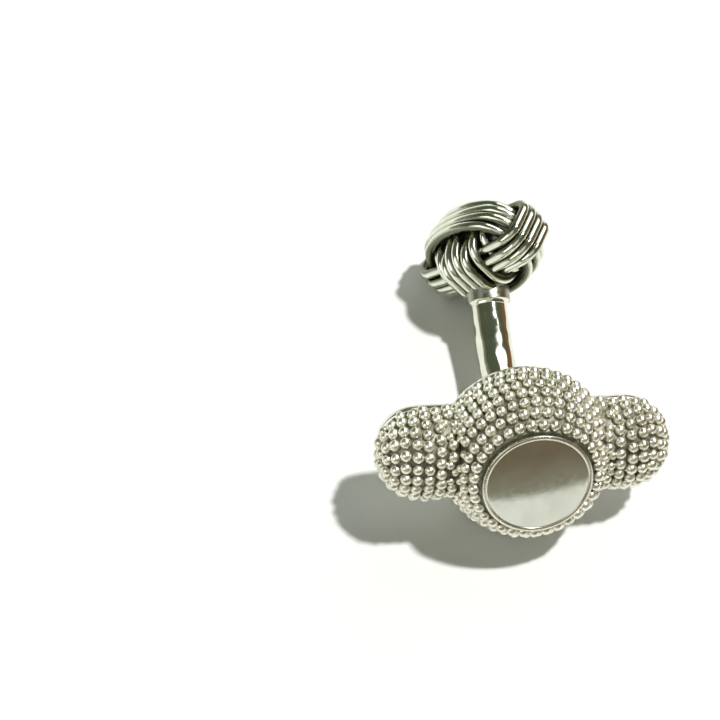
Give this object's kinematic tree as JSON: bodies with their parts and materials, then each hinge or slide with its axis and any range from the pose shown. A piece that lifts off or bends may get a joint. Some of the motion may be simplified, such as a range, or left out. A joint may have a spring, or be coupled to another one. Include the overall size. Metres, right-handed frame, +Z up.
{
  "type": "cufflink",
  "caption": "Rigid silver cufflink: a granulated lobed head with a polished round face, a curved round post and an interlaced knot of rods that holds it in a shirt cuff.",
  "frame": {"origin": "on the table under the middle of the link's box, as it lies in the picture", "axes": "+Y from the head to the knot, -Y the way the polished face looks, +X along the lobes, +Z up"},
  "size_m": [0.018, 0.0236, 0.0103],
  "materials": {
    "grain_silver": "polished, with darkened silver in the gaps",
    "shell_silver": "darkened between the grains",
    "plate_silver": "polished edge and back",
    "face_silver": "mirror polish",
    "post_silver": "mirror polish",
    "knot_silver": "polished, with darkened silver in the gaps",
    "core_silver": "plain, out of sight"
  },
  "bodies": {
    "root": {"back_plate": "plate_silver", "centre_grain_row_1": "grain_silver", "centre_grain_row_2": "grain_silver", "centre_grain_row_3": "grain_silver", "centre_grain_row_4": "grain_silver", "centre_grain_row_5": "grain_silver", "centre_grain_row_6": "grain_silver", "centre_grain_row_7": "grain_silver", "centre_shell": "shell_silver", "crown_band_strand_1": "knot_silver", "crown_band_strand_2": "knot_silver", "crown_band_strand_3": "knot_silver", "crown_band_strand_4": "knot_silver", "end_band_strand_1": "knot_silver", "end_band_strand_2": "knot_silver", "end_band_strand_3": "knot_silver", "end_band_strand_4": "knot_silver", "face_bezel": "face_silver", "face_plate": "face_silver", "knot_core": "core_silver", "knot_cup": "knot_silver", "left_lobe_grain_row_1": "grain_silver", "left_lobe_grain_row_2": "grain_silver", "left_lobe_grain_row_3": "grain_silver", "left_lobe_grain_row_4": "grain_silver", "left_lobe_grain_row_5": "grain_silver", "left_lobe_grain_row_6": "grain_silver", "left_lobe_grain_row_7": "grain_silver", "left_lobe_grain_row_8": "grain_silver", "left_lobe_grain_row_9": "grain_silver", "left_lobe_shell": "shell_silver", "post": "post_silver", "right_lobe_grain_row_1": "grain_silver", "right_lobe_grain_row_2": "grain_silver", "right_lobe_grain_row_3": "grain_silver", "right_lobe_grain_row_4": "grain_silver", "right_lobe_grain_row_5": "grain_silver", "right_lobe_grain_row_6": "grain_silver", "right_lobe_grain_row_7": "grain_silver", "right_lobe_grain_row_8": "grain_silver", "right_lobe_grain_row_9": "grain_silver", "right_lobe_shell": "shell_silver", "waist_band_strand_1": "knot_silver", "waist_band_strand_2": "knot_silver", "waist_band_strand_3": "knot_silver", "waist_band_strand_4": "knot_silver"}
  },
  "joints": []
}
